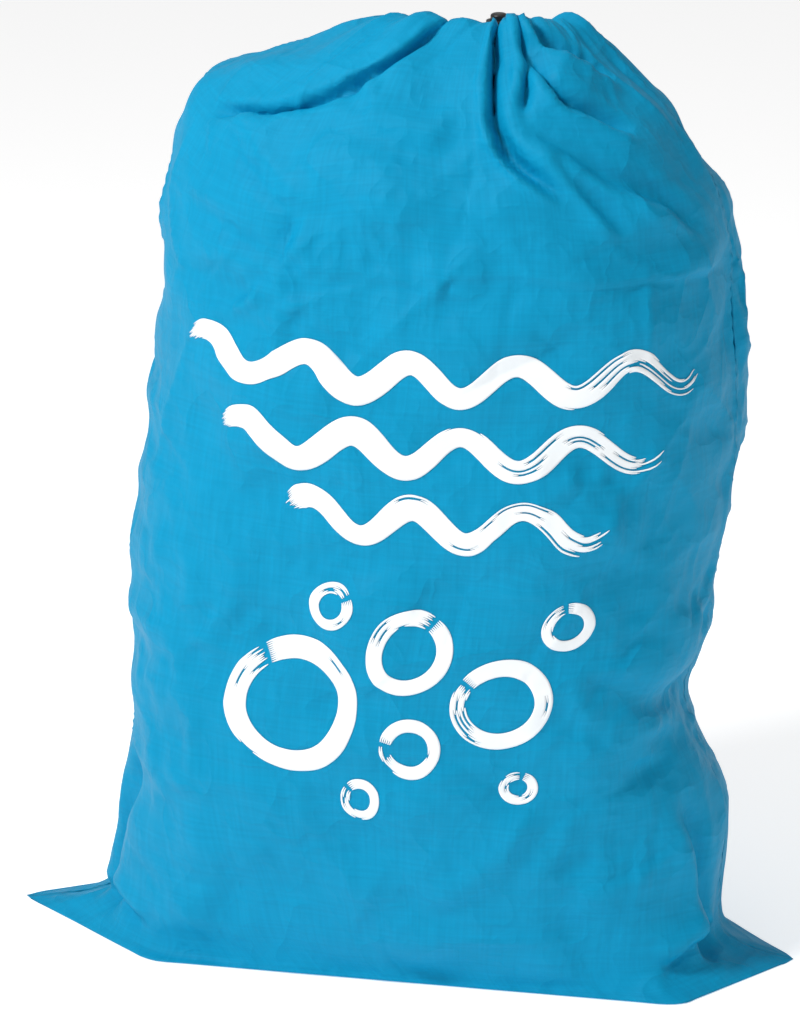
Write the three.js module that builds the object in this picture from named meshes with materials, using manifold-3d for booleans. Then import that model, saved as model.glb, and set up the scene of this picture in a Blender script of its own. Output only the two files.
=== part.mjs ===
// A full drawstring laundry bag, standing on its base with its mouth drawn shut.
// Two flat cloth panels are sewn to each other down both sides and across the bottom.
// The sewn corners stick out as flat ears beside the base. At the top the hem is a
// channel for a drawcord, and a sprung cord lock behind the gathered mouth holds it shut.
//
// Millimetres, +Z up, the printed front towards -Y. The origin is on the floor, in the
// middle of the bag's width from ear tip to ear tip.
import * as THREE from "three";
import { mergeVertices } from "three/addons/utils/BufferGeometryUtils.js";
import Module from "manifold-3d";

const wasm = await Module();
wasm.setup();

// ---------------------------------------------------------------- driving dimensions

const panelWall = 1.6; // cloth with its loose folds
const seamHalfGap = 2; // each panel's sewn edge lies this far from the seam plane y = 0
const seamHalfThickness = 1.2; // two folded allowances, pressed flat
const allowance = 9; // how far the sewn edges reach inside the bag

const mouth = { x: 62, height: 694, cordRadius: 25, innerRadius: 14, outerRadius: 36, tall: 22 };

// The filled bag from the floor up. Each station gives the height, the middle of the
// width, the half width, the half depth, how square its corners are (2 is an ellipse)
// and how much lower the back is than the front. The last two form the crest round the
// gathered mouth, and the lip where the panels meet the hem.
const stations = [
  { height: 0, middle: 14, width: 208, depth: 86, square: 3.6, lower: 0 },
  { height: 14, middle: 14, width: 225, depth: 108, square: 3.3, lower: 0 },
  { height: 60, middle: 15, width: 232, depth: 122, square: 2.9, lower: 0 },
  { height: 185, middle: 14, width: 216, depth: 148, square: 2.5, lower: 0 },
  { height: 340, middle: 27, width: 223, depth: 150, square: 2.35, lower: 0 },
  { height: 490, middle: 39, width: 220, depth: 150, square: 2.35, lower: 0 },
  { height: 600, middle: 38, width: 208, depth: 140, square: 2.3, lower: 0 },
  { height: 665, middle: 32, width: 178, depth: 114, square: 2.2, lower: 2 },
  { height: 704, middle: 38, width: 128, depth: 84, square: 2.1, lower: 27 },
  { height: 724, middle: 52, width: 78, depth: 54, square: 2, lower: 48 },
  { height: 700, middle: mouth.x, width: 38, depth: 38, square: 2, lower: 24 },
];

const ear = { leftReach: 110, rightReach: 82, halfWidth: 46, thickness: 28 };
const baseSeamShare = 0.93; // the bottom seam's length as a share of the ear tips' span

const cord = { diameter: 4, strandOffset: 2.35, bendRadius: 9 };
const channelRadius = 3;
const hemExit = { halfWidth: 12.5, halfHeight: 3.2 };

const lock = {
  y: 58, // the barrel's axis, behind the hem
  radius: 9.5,
  bottom: -12.5, // heights in the lock are measured from the cords' centre line
  top: 7.5,
  boreRadius: 6.6,
  boreFloor: -11,
  slotHalfWidth: 5.2,
  slotHalfHeight: 2.4,
};
const plunger = { radius: 6.3, bottom: -4, shoulder: 11, top: 12.6, travel: 4, bridge: 1.6 };
const spring = { wire: 0.8, radius: 4.3, turns: 3.5 };
const workingGap = 0.3;

const knot = { radius: 5, halfHeight: 6 };

// The free end on the right, from the hem's exit back over the shoulder and down behind
// the bag. The left one runs beside it.
const tailRoute = [
  [2.35, 37, 0],
  [2.35, 50, 0],
  [2.35, 75, 0],
  [2.35, 104, 0],
  [2.5, 113, -1.5],
  [3, 121, -6],
  [3.8, 128, -15],
  [4.6, 133.5, -29],
  [5.4, 138, -47],
  [6.4, 142.5, -69],
  [7.8, 147, -97],
  [9.5, 151, -132],
  [11, 153.5, -174],
  [11.6, 154.8, -222],
  [10.6, 155.2, -276],
  [8.6, 155.2, -335],
  [7, 154.8, -394],
  [7.4, 154, -449],
  [9.4, 152.8, -504],
  [11.5, 151.2, -551],
];
const straightPoints = 4; // the lock slides along these
const leftTail = { spread: 26, shorter: 18 }; // it leans out further and ends a little higher

const blue = new THREE.Color(0.02, 0.36, 0.64);
const black = new THREE.Color(0.02, 0.02, 0.022);
const steel = new THREE.Color(0.6, 0.6, 0.6);

// ---------------------------------------------------------------- small tools

function material(color, roughness, metalness = 0) {
  return new THREE.MeshStandardMaterial({ color, roughness, metalness });
}

function bare(geometry) {
  const copy = geometry.clone();
  copy.deleteAttribute("normal");
  copy.deleteAttribute("uv");
  return mergeVertices(copy, 1e-3);
}

function solid(geometry) {
  const closed = bare(geometry);
  return new wasm.Manifold(
    new wasm.Mesh({
      numProp: 3,
      vertProperties: new Float32Array(closed.attributes.position.array),
      triVerts: new Uint32Array(closed.index.array),
    }),
  );
}

function geometryOf(manifold) {
  const mesh = manifold.getMesh();
  const geometry = new THREE.BufferGeometry();
  geometry.setAttribute("position", new THREE.BufferAttribute(mesh.vertProperties, 3));
  geometry.setIndex(new THREE.BufferAttribute(mesh.triVerts, 1));
  geometry.computeVertexNormals();
  return geometry;
}

function boxBetween(low, high) {
  const box = new THREE.BoxGeometry(high[0] - low[0], high[1] - low[1], high[2] - low[2]);
  return box.translate((low[0] + high[0]) / 2, (low[1] + high[1]) / 2, (low[2] + high[2]) / 2);
}

// A closed sheet of even thickness behind the surface at(u, v), u and v from 0 to 1. The
// surface's front is the side from which u runs right and v runs up.
function sheet(at, across, up, thickness) {
  const geometry = new THREE.BoxGeometry(1, 1, 1, across, up, 1);
  const position = geometry.attributes.position;
  const step = 1e-4;
  for (let i = 0; i < position.count; i += 1) {
    const u = position.getX(i) + 0.5;
    const v = position.getY(i) + 0.5;
    const uStart = THREE.MathUtils.clamp(u - step, 0, 1 - 2 * step);
    const vStart = THREE.MathUtils.clamp(v - step, 0, 1 - 2 * step);
    const alongU = at(uStart + 2 * step, v).sub(at(uStart, v));
    const alongV = at(u, vStart + 2 * step).sub(at(u, vStart));
    const outward = alongU.cross(alongV).normalize();
    const depth = (position.getZ(i) - 0.5) * thickness;
    const point = at(u, v).addScaledVector(outward, depth);
    position.setXYZ(i, point.x, point.y, point.z);
  }
  return bare(geometry);
}

function tube(path, steps, radius, sides) {
  const section = new THREE.Shape();
  for (let i = 0; i < sides; i += 1) {
    const turn = (i / sides) * 2 * Math.PI;
    const point = [radius * Math.cos(turn), radius * Math.sin(turn)];
    if (i === 0) section.moveTo(...point);
    else section.lineTo(...point);
  }
  section.closePath();
  return new THREE.ExtrudeGeometry(section, { steps, extrudePath: path, curveSegments: 1 });
}

// ---------------------------------------------------------------- the filled bag's form

const outline = new THREE.CatmullRomCurve3(
  stations.map((s) => new THREE.Vector3(s.width, s.depth, s.height)),
  false,
  "centripetal",
);
const lean = new THREE.CatmullRomCurve3(
  stations.map((s) => new THREE.Vector3(s.middle, s.square, s.lower)),
  false,
  "catmullrom",
  0.4,
);

// A point of the bag's skin. turn is 0 at the right seam, a quarter turn at the middle of
// the back, and rise runs from 0 at the floor's edge to 1 at the lip round the mouth.
function skin(turn, rise) {
  const size = outline.getPoint(rise);
  const shape = lean.getPoint(rise);
  const side = Math.sin(turn) >= 0 ? 1 : -1;
  const across = Math.cos(turn);
  const along = Math.abs(Math.sin(turn));
  const depth = size.y - seamHalfGap;
  const reach = (Math.abs(across / size.x) ** shape.y + (along / depth) ** shape.y) ** (-1 / shape.y);
  const offSeam = along * reach;
  const longest = across < 0 ? -ear.leftReach : ear.rightReach;
  const height = Math.max(0, size.z - (side > 0 ? shape.z * along : 0));
  const flare = Math.exp(-((offSeam / ear.halfWidth) ** 2) - (height / ear.thickness) ** 2);
  const seamShare = THREE.MathUtils.smoothstep(Math.abs(across), 0, 0.5);
  return new THREE.Vector3(
    shape.x + across * reach + longest * flare * seamShare,
    side * (seamHalfGap + offSeam),
    height,
  );
}

// One panel, from the bottom seam out across the floor, then up to the mouth.
function panelPoint(startTurn, u, v) {
  const floorShare = 0.12;
  const even = u * 0.6 + (1 - Math.cos(Math.PI * u)) * 0.2;
  const turn = startTurn + Math.PI * THREE.MathUtils.clamp(even, 1e-6, 1 - 1e-6);
  if (v >= floorShare) return skin(turn, (v - floorShare) / (1 - floorShare));
  const edge = skin(turn, 0);
  const out = v / floorShare;
  const seamY = Math.sign(edge.y) * seamHalfGap;
  return new THREE.Vector3(
    edge.x * THREE.MathUtils.lerp(baseSeamShare, 1, out),
    THREE.MathUtils.lerp(seamY, edge.y, out),
    0,
  );
}

function panel(name, startTurn) {
  const geometry = sheet((u, v) => panelPoint(startTurn, u, v), 24, 25, panelWall);
  const mesh = new THREE.Mesh(geometry, material(blue, 0.55));
  mesh.name = name;
  return mesh;
}

// ---------------------------------------------------------------- seam allowances

// The overlocked edges of both panels, standing in from the side seam as one flat strip.
function sideSeam(name, turn) {
  const outer = [];
  const inner = [];
  const rows = 26;
  for (let i = 0; i <= rows; i += 1) {
    const rise = THREE.MathUtils.lerp(0.1, 0.86, i / rows);
    const here = skin(turn, rise);
    const next = skin(turn, rise + 0.002);
    const inward = new THREE.Vector2(here.z - next.z, next.x - here.x).normalize();
    if (turn !== 0) inward.negate();
    const edge = new THREE.Vector2(here.x, here.z);
    const folded = edge.clone().addScaledVector(inward, allowance);
    folded.y = Math.max(folded.y, allowance + workingGap);
    outer.push(edge);
    inner.push(folded);
  }
  const strip = new THREE.Shape([...outer, ...inner.reverse()]);
  const geometry = new THREE.ExtrudeGeometry(strip, {
    depth: 2 * seamHalfThickness,
    bevelEnabled: false,
    curveSegments: 1,
  });
  geometry.rotateX(Math.PI / 2).translate(0, seamHalfThickness, 0);
  const mesh = new THREE.Mesh(geometry, material(blue, 0.6));
  mesh.name = name;
  return mesh;
}

function bottomSeam() {
  const left = skin(Math.PI, 0).x;
  const right = skin(0, 0).x;
  const end = 14;
  const strip = new THREE.Shape([
    new THREE.Vector2(left + 1, 0),
    new THREE.Vector2(right - 1, 0),
    new THREE.Vector2(right - end, allowance),
    new THREE.Vector2(left + end, allowance),
  ]);
  const geometry = new THREE.ExtrudeGeometry(strip, {
    depth: 2 * seamHalfThickness,
    bevelEnabled: false,
  });
  geometry.rotateX(Math.PI / 2).translate(0, seamHalfThickness, 0);
  const mesh = new THREE.Mesh(geometry, material(blue, 0.6));
  mesh.name = "bottom_seam";
  return mesh;
}

// ---------------------------------------------------------------- hem and drawcord

class MouthArc extends THREE.Curve {
  constructor(start, sweep) {
    super();
    this.start = start;
    this.sweep = sweep;
  }
  getPoint(t) {
    const turn = this.start + this.sweep * t;
    const radius = mouth.cordRadius;
    return new THREE.Vector3(mouth.x + radius * Math.cos(turn), radius * Math.sin(turn), mouth.height);
  }
}

// Half of the turned-over hem, bunched up into a thick collar with the cord's channel
// inside. The back half has the gap that both ends of the cord come out of.
function hem(name, start, withExit) {
  const halfAcross = (mouth.outerRadius - mouth.innerRadius) / 2;
  const halfTall = mouth.tall / 2;
  const corner = 5;
  const section = new THREE.Shape();
  section.moveTo(-halfAcross + corner, -halfTall);
  section.lineTo(halfAcross - corner, -halfTall);
  section.lineTo(halfAcross, -halfTall + corner);
  section.lineTo(halfAcross, halfTall - corner);
  section.lineTo(halfAcross - corner, halfTall);
  section.lineTo(-halfAcross + corner, halfTall);
  section.lineTo(-halfAcross, halfTall - corner);
  section.lineTo(-halfAcross, -halfTall + corner);
  section.closePath();
  const channel = new THREE.Path();
  const sides = 10;
  for (let i = 0; i <= sides; i += 1) {
    const turn = (-i / sides) * 2 * Math.PI;
    const point = [channelRadius * Math.cos(turn), channelRadius * Math.sin(turn)];
    if (i === 0) channel.moveTo(...point);
    else channel.lineTo(...point);
  }
  section.holes.push(channel);
  const seamTurn = 0.025;
  const path = new MouthArc(start + seamTurn, Math.PI - 2 * seamTurn);
  let geometry = new THREE.ExtrudeGeometry(section, { steps: 18, extrudePath: path, curveSegments: 1 });
  if (withExit) {
    const low = [mouth.x - hemExit.halfWidth, 12, mouth.height - hemExit.halfHeight];
    const high = [mouth.x + hemExit.halfWidth, 45, mouth.height + hemExit.halfHeight];
    geometry = geometryOf(solid(geometry).subtract(solid(boxBetween(low, high))));
  }
  const mesh = new THREE.Mesh(geometry, material(blue, 0.6));
  mesh.name = name;
  return mesh;
}

// The stretch of cord inside the hem: round the mouth, then both ends turn out through
// the exit, side by side.
function cordInHem() {
  const { strandOffset, bendRadius } = cord;
  const bendX = strandOffset + bendRadius;
  const bendY = Math.sqrt((mouth.cordRadius + bendRadius) ** 2 - bendX ** 2);
  const leaveTurn = Math.atan2(bendY, bendX);
  const right = [];
  for (let i = 0; i < 5; i += 1) {
    const turn = Math.PI + (leaveTurn * i) / 5;
    right.push([bendX + bendRadius * Math.cos(turn), bendY + bendRadius * Math.sin(turn)]);
  }
  right.unshift([strandOffset, tailRoute[0][1] - workingGap]);
  const round = [];
  const steps = 22;
  for (let i = 0; i <= steps; i += 1) {
    const turn = THREE.MathUtils.lerp(leaveTurn, -Math.PI - leaveTurn, i / steps);
    round.push([mouth.cordRadius * Math.cos(turn), mouth.cordRadius * Math.sin(turn)]);
  }
  const left = right.map(([x, y]) => [-x, y]).reverse();
  const points = [...right, ...round, ...left].map(
    ([x, y]) => new THREE.Vector3(mouth.x + x, y, mouth.height),
  );
  const path = new THREE.CatmullRomCurve3(points, false, "centripetal");
  const mesh = new THREE.Mesh(tube(path, 48, cord.diameter / 2, 8), material(black, 0.8));
  mesh.name = "drawcord_in_hem";
  return mesh;
}

function tailPath(side) {
  const points = tailRoute.map(([x, y, drop], i) => {
    const past = Math.max(0, i - straightPoints) / (tailRoute.length - 1 - straightPoints);
    const extra = side < 0 ? leftTail.spread * past ** 2 : 0;
    const rise = side < 0 ? leftTail.shorter * past ** 2 : 0;
    return new THREE.Vector3(mouth.x + side * (x + extra), y, mouth.height + drop + rise);
  });
  return new THREE.CatmullRomCurve3(points, false, "centripetal");
}

function cordTail(name, side) {
  const path = tailPath(side);
  const mesh = new THREE.Mesh(tube(path, 72, cord.diameter / 2, 8), material(black, 0.8));
  mesh.name = name;
  return mesh;
}

function endKnot(name, side) {
  const { radius, halfHeight } = knot;
  const profile = [];
  const steps = 8;
  for (let i = 0; i <= steps; i += 1) {
    const turn = -Math.PI / 2 + (i / steps) * Math.PI;
    const x = i === 0 || i === steps ? 0 : radius * Math.cos(turn);
    profile.push(new THREE.Vector2(x, halfHeight * Math.sin(turn)));
  }
  const geometry = bare(new THREE.LatheGeometry(profile, 12));
  const end = tailPath(side).getPoint(1);
  const mesh = new THREE.Mesh(geometry, material(black, 0.8));
  mesh.position.set(end.x, end.y, end.z - halfHeight - workingGap);
  mesh.name = name;
  return mesh;
}

// ---------------------------------------------------------------- cord lock

function lathe(profile, sides) {
  return new THREE.LatheGeometry(
    profile.map(([x, y]) => new THREE.Vector2(x, y)),
    sides,
  ).rotateX(Math.PI / 2);
}

function lockBarrel() {
  const cup = lathe(
    [
      [0, lock.bottom],
      [lock.radius - 1, lock.bottom],
      [lock.radius, lock.bottom + 1],
      [lock.radius, lock.top - 1],
      [lock.radius - 1, lock.top],
      [lock.boreRadius, lock.top],
      [lock.boreRadius, lock.boreFloor],
      [0, lock.boreFloor],
    ],
    24,
  );
  const slot = boxBetween(
    [-lock.slotHalfWidth, -15, -lock.slotHalfHeight],
    [lock.slotHalfWidth, 15, lock.slotHalfHeight],
  );
  const mesh = new THREE.Mesh(geometryOf(solid(cup).subtract(solid(slot))), material(black, 0.4));
  mesh.name = "cord_lock_barrel";
  return mesh;
}

function lockPlunger() {
  const button = lathe(
    [
      [0, plunger.bottom],
      [plunger.radius, plunger.bottom],
      [plunger.radius, plunger.shoulder],
      [plunger.radius - 1.2, plunger.top - 0.5],
      [plunger.radius - 3, plunger.top],
      [0, plunger.top],
    ],
    24,
  );
  const window = boxBetween(
    [-lock.slotHalfWidth, -15, plunger.bottom + plunger.bridge],
    [lock.slotHalfWidth, 15, lock.slotHalfHeight + plunger.travel],
  );
  const mesh = new THREE.Mesh(geometryOf(solid(button).subtract(solid(window))), material(black, 0.35));
  mesh.name = "cord_lock_plunger";
  return mesh;
}

class Helix extends THREE.Curve {
  getPoint(t) {
    const low = lock.boreFloor + workingGap + spring.wire / 2;
    const high = plunger.bottom - workingGap - spring.wire / 2;
    const turn = 2 * Math.PI * spring.turns * t;
    return new THREE.Vector3(
      spring.radius * Math.cos(turn),
      spring.radius * Math.sin(turn),
      THREE.MathUtils.lerp(low, high, t),
    );
  }
}

function lockSpring() {
  const mesh = new THREE.Mesh(tube(new Helix(), 48, spring.wire / 2, 6), material(steel, 0.3, 1));
  mesh.name = "cord_lock_spring";
  return mesh;
}

// ---------------------------------------------------------------- the whole bag

const group = new THREE.Group();
group.add(panel("front_panel", Math.PI), panel("back_panel", 0));
group.add(sideSeam("side_seam_left", Math.PI), sideSeam("side_seam_right", 0), bottomSeam());
group.add(hem("front_hem_casing", Math.PI, false), hem("back_hem_casing", 0, true), cordInHem());
group.add(cordTail("cord_tail_left", -1), cordTail("cord_tail_right", 1));
group.add(endKnot("cord_knot_left", -1), endKnot("cord_knot_right", 1));

const cordLock = new THREE.Group();
cordLock.add(lockBarrel(), lockPlunger(), lockSpring());
cordLock.position.set(mouth.x, lock.y, mouth.height);
group.add(cordLock);

export default group;
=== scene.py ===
"""A full drawstring laundry bag of thin blue cloth, standing on its base with its mouth
drawn shut. The bag is put together in the order a sewer would: the cloth and its shape,
the print, the seams, the hem, then the cord, its knots and its lock. Metres, +Z up."""

import bmesh
import bpy
import numpy as np
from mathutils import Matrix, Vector
from mathutils.bvhtree import BVHTree


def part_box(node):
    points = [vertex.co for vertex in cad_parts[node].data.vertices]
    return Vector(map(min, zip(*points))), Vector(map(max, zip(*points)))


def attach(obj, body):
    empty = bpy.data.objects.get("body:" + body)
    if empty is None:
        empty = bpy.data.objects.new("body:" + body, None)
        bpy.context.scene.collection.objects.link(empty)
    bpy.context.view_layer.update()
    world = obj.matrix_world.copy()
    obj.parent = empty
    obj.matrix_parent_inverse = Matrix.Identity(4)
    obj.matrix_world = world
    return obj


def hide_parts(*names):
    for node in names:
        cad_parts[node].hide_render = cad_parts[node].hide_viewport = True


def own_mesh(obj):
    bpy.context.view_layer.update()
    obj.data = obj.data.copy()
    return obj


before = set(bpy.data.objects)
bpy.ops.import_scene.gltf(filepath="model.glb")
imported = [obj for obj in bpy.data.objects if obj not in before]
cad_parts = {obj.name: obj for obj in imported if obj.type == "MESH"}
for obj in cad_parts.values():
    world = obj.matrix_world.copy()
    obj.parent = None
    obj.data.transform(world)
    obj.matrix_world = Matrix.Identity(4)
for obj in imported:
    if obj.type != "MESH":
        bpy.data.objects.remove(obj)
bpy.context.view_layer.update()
scene = bpy.context.scene


# ---------------------------------------------------------------- camera, floor and light
# A long lens a little above the bag and to its right, a pale floor that runs out of
# sight, and soft light from large panels in front, above and to the left.


def look_at(thing, target):
    """Turns a camera or lamp so that its own -Z points at the target."""
    away = Vector(target) - thing.location
    thing.rotation_euler = away.to_track_quat("-Z", "Y").to_euler()


def round_the_bag(target, distance, azimuth, elevation):
    """The place at that distance from the target, azimuth turned towards +X from the front."""
    turn, lift = np.radians(azimuth), np.radians(elevation)
    flat = distance * np.cos(lift)
    offset = (flat * np.sin(turn), -flat * np.cos(turn), distance * np.sin(lift))
    return Vector(target) + Vector(offset)


def make_camera():
    lens = bpy.data.cameras.new("camera")
    lens.lens = 141.0
    lens.sensor_width = 36.0
    camera = bpy.data.objects.new("camera", lens)
    scene.collection.objects.link(camera)
    aim = (0.0, 0.0, 0.338)
    camera.location = round_the_bag(aim, distance=3.0, azimuth=12.0, elevation=17.0)
    look_at(camera, aim)
    scene.camera = camera


def make_lamp(name, place, size, power):
    lamp = bpy.data.lights.new(name, "AREA")
    lamp.shape = "DISK"
    lamp.size = size
    lamp.energy = power
    thing = bpy.data.objects.new(name, lamp)
    scene.collection.objects.link(thing)
    thing.location = place
    look_at(thing, (0.0, 0.0, 0.4))


def make_floor():
    reach = 12.0
    corners = [(-reach, -reach, 0), (reach, -reach, 0), (reach, reach, 0), (-reach, reach, 0)]
    mesh = bpy.data.meshes.new("floor")
    mesh.from_pydata(corners, [], [(0, 1, 2, 3)])
    floor = bpy.data.objects.new("floor", mesh)
    scene.collection.objects.link(floor)
    paint = bpy.data.materials.new("floor_paper")
    paint.use_nodes = True
    shader = paint.node_tree.nodes["Principled BSDF"]
    shader.inputs["Base Color"].default_value = (0.93, 0.93, 0.93, 1)
    shader.inputs["Emission Color"].default_value = (1, 1, 1, 1)
    shader.inputs["Emission Strength"].default_value = 0.45
    shader.inputs["Roughness"].default_value = 0.9
    mesh.materials.append(paint)


make_camera()
make_floor()
make_lamp("key_light", (-1.35, -1.6, 2.5), size=0.7, power=68)
make_lamp("fill_light", (2.2, -1.9, 1.2), size=1.6, power=3)
make_lamp("top_light", (-0.2, 0.4, 2.6), size=1.6, power=5)
room = bpy.data.worlds.new("room")
scene.world = room
room.use_nodes = True
sky = room.node_tree.nodes["Background"]
sky.inputs["Color"].default_value = (1, 1, 1, 1)
sky.inputs["Strength"].default_value = 0.44
scene.view_settings.view_transform = "Standard"


# ---------------------------------------------------------------- the bag's cloth
# Two panels of thin woven polyester, sewn down both sides and across the bottom. Full of
# washing, the cloth lies smooth over the sides and bunches up where the hem is drawn in.

PANEL_WIDTH = 0.610
PANEL_LENGTH = 0.955  # from the bottom seam to the mouth, the hem's turn included
HEM_LENGTH = 0.030
FALL = PANEL_LENGTH - HEM_LENGTH
FLOOR_SHARE = 0.090  # how much of each panel lies under the bag
MOUTH = np.array([0.062, 0.0, 0.694])
MOUTH_RADIUS = 0.040
BACK_LOWER = 0.024  # how much lower the mouth is at the back
# The stations below are for a panel 723.3 mm high and 151 mm deep; these follow the frame's.
FORM_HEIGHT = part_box("front_panel")[1].z / 0.7233
FORM_DEPTH = -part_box("front_panel")[0].y / 0.151

# From the floor up: height, middle of the width, half width, half depth, squareness and
# how much lower the back is.
FORM = np.array(
    [
        [0.000, 0.014, 0.208, 0.086, 3.60, 0.000],
        [0.014, 0.014, 0.225, 0.108, 3.30, 0.000],
        [0.060, 0.015, 0.232, 0.122, 2.90, 0.000],
        [0.185, 0.014, 0.216, 0.148, 2.50, 0.000],
        [0.340, 0.027, 0.223, 0.150, 2.35, 0.000],
        [0.490, 0.039, 0.220, 0.150, 2.35, 0.000],
        [0.600, 0.038, 0.208, 0.140, 2.30, 0.000],
        [0.665, 0.032, 0.178, 0.114, 2.20, 0.002],
        [0.704, 0.038, 0.128, 0.084, 2.10, 0.027],
        [0.724, 0.052, 0.078, 0.054, 2.00, 0.048],
        [0.700, 0.062, 0.038, 0.038, 2.00, 0.024],
    ]
)
FORM[:, 0] *= FORM_HEIGHT
FORM[:, 3] *= FORM_DEPTH


def smooth(edge, share):
    """The cubic ease from 0 to 1 as share goes from 0 to edge."""
    x = np.clip(share / edge, 0, 1)
    return x * x * (3 - 2 * x)


def bell(x, middle, width):
    """The bell curve exp(-((x - middle) / width)^2)."""
    return np.exp(-(((x - middle) / width) ** 2))


def catmull_rom(before, here, after, beyond, f):
    """The Catmull-Rom cubic from here to after, at the share f of the way."""
    return 0.5 * (
        2 * here
        + (after - before) * f
        + (2 * before - 5 * here + 4 * after - beyond) * f**2
        + (3 * here - before - 3 * after + beyond) * f**3
    )


def form_at(rise):
    """The stations' values at rise, 0 at the floor and 1 at the mouth, on Catmull-Rom curves."""
    last = len(FORM) - 1
    place = np.clip(rise, 0, 1) * last
    i = np.minimum(place.astype(int), last - 1)
    f = (place - i)[..., None]
    return catmull_rom(*FORM[np.clip(np.stack([i - 1, i, i + 1, i + 2]), 0, last)], f)


# The outline of the cloth that lies on the floor: the four corners of the base and, between
# them at each side seam, the tip of the flat ear that the cut's corner makes.
BASE = np.array(
    [[0.309, 0], [0.215, 0.104], [-0.165, 0.104], [-0.307, 0], [-0.174, -0.107], [0.236, -0.106]]
)
BASE_MIDDLE = np.array([0.030, 0.0])
LEFT_EAR, RIGHT_EAR = 0.110, 0.082  # how far the puffed ears stand out
SHOULDER = 0.600  # the height where the sides begin to close in


def base_outline(turn):
    """Where a ray at that turn from the base's middle meets the base's straight edges, with
    the corners eased by a short running mean."""
    ends = np.roll(BASE, -1, axis=0)
    share = np.linspace(0, 1, 60, endpoint=False)[:, None, None]
    edge = (BASE + (ends - BASE) * share).swapaxes(0, 1).reshape(-1, 2) - BASE_MIDDLE
    around = np.arctan2(edge[:, 1], edge[:, 0]) % (2 * np.pi)
    order = np.argsort(around)
    angles = np.linspace(0, 2 * np.pi, 1441)
    reach = np.interp(angles, around[order], np.hypot(*edge[order].T), period=2 * np.pi)
    reach = sum(np.roll(reach[:-1], k) for k in range(-4, 5)) / 9
    reach = np.interp(turn % (2 * np.pi), angles[:-1], reach, period=2 * np.pi)
    x = BASE_MIDDLE[0] + reach * np.cos(turn)
    return x, BASE_MIDDLE[1] + reach * np.sin(turn)


def filled_skin(turn, rise, ears="puffed", inset=0.0):
    """A point of the full bag: a superellipse at each height, |x/a|^n + |y/b|^n = 1, with
    its middle moved sideways. Near the floor the ears stick out along the side seams, as
    puffed bell curves in y and z while the cloth still hangs, or flat as the base's
    outline once it has settled."""
    height, middle, width, depth, square, lower = np.moveaxis(form_at(rise), -1, 0)
    across, along = np.cos(turn), np.sin(turn)
    width, depth = width - inset, depth - inset
    reach = (np.abs(across / width) ** square + np.abs(along / depth) ** square) ** (-1 / square)
    x, y = middle + across * reach, along * reach
    z = np.maximum(height - np.where(along > 0, lower * along, 0), 0)
    if ears == "puffed":
        flare = np.exp(-((y / 0.046) ** 2) - (z / 0.028) ** 2) * smooth(0.5, np.abs(across))
        x = x + np.where(across < 0, -LEFT_EAR, RIGHT_EAR) * flare
    if ears == "flat":
        share = np.exp(-((z / 0.012) ** 1.2))
        edge_x, edge_y = base_outline(turn)
        x, y = x + (edge_x - x) * share, y + (edge_y - y) * share
    return np.stack([x, y, z], -1)


front_rise = np.linspace(0, 1, 400)
front_line = filled_skin(np.full(400, 1.5 * np.pi), front_rise)
front_length = np.append(0, np.linalg.norm(np.diff(front_line, axis=0), axis=1).cumsum())


def hung_cloth(across, up, start_turn, drawn):
    """Where a panel's point lies before it settles. across runs 0 to 1 from seam to seam and
    up is in metres from the bottom seam: out under the bag, up its side, and then straight
    up if the mouth is still open, or in over the top if it is drawn."""
    even = across * 0.6 + (1 - np.cos(np.pi * across)) * 0.2
    turn = start_turn + np.pi * even
    rise = np.interp(up - FLOOR_SHARE, front_length, front_rise)
    shoulder = np.interp(SHOULDER, front_line[:300, 2], front_rise[:300])
    shoulder_up = np.interp(shoulder, front_rise, front_length) + FLOOR_SHARE
    if drawn:
        side = filled_skin(turn, rise, "flat")
        edge = filled_skin(turn, np.zeros_like(turn), "flat")
    else:
        side = filled_skin(turn, np.minimum(rise, shoulder))
        side[..., 2] += np.maximum(up - shoulder_up, 0)
        edge = filled_skin(turn, np.zeros_like(turn))
    out = np.clip(up / FLOOR_SHARE, 0, 1)
    under = np.stack([edge[..., 0] * (0.95 + 0.05 * out), edge[..., 1] * out, 0 * out], -1)
    return np.where((up < FLOOR_SHARE)[..., None], under, side)


def lumps(points, count, low, high, seed):
    """Soft unevenness: the sum of many plane cosine waves with random directions and
    wavelengths between low and high, about 1 in size."""
    draw = np.random.default_rng(seed)
    total = np.zeros(points.shape[:-1])
    for _ in range(count):
        direction = draw.normal(size=3)
        direction /= np.linalg.norm(direction)
        wave = 2 * np.pi / draw.uniform(low, high)
        total += np.cos(points @ direction * wave + draw.uniform(0, 2 * np.pi))
    return total / np.sqrt(count / 2)


def new_object(name, points, faces):
    mesh = bpy.data.meshes.new(name)
    mesh.from_pydata(np.asarray(points).tolist(), [], [tuple(map(int, f)) for f in faces])
    mesh.update()
    thing = bpy.data.objects.new(name, mesh)
    scene.collection.objects.link(thing)
    return thing


def grid_faces(index):
    """The quads of a grid of vertex numbers, rows up and columns to the right."""
    corners = [index[:-1, :-1], index[:-1, 1:], index[1:, 1:], index[1:, :-1]]
    return np.stack(corners, -1).reshape(-1, 4)


def wrapped_rows(rows, columns):
    """Vertex numbers of a tube, a row for each ring, with its first column again at the end."""
    index = np.arange(rows * columns).reshape(rows, columns)
    return np.append(index, index[:, :1], axis=1)


def tube_faces(rows, columns, flip=False):
    """The quads of a tube and the two faces that close its ends, all turned outward if the
    columns run anticlockwise seen from the last row, and flipped if they don't."""
    rings = wrapped_rows(rows, columns)
    faces = [*grid_faces(rings), rings[0, -2::-1], rings[-1, :-1]]
    return [face[::-1].tolist() if flip else face.tolist() for face in faces]


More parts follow.
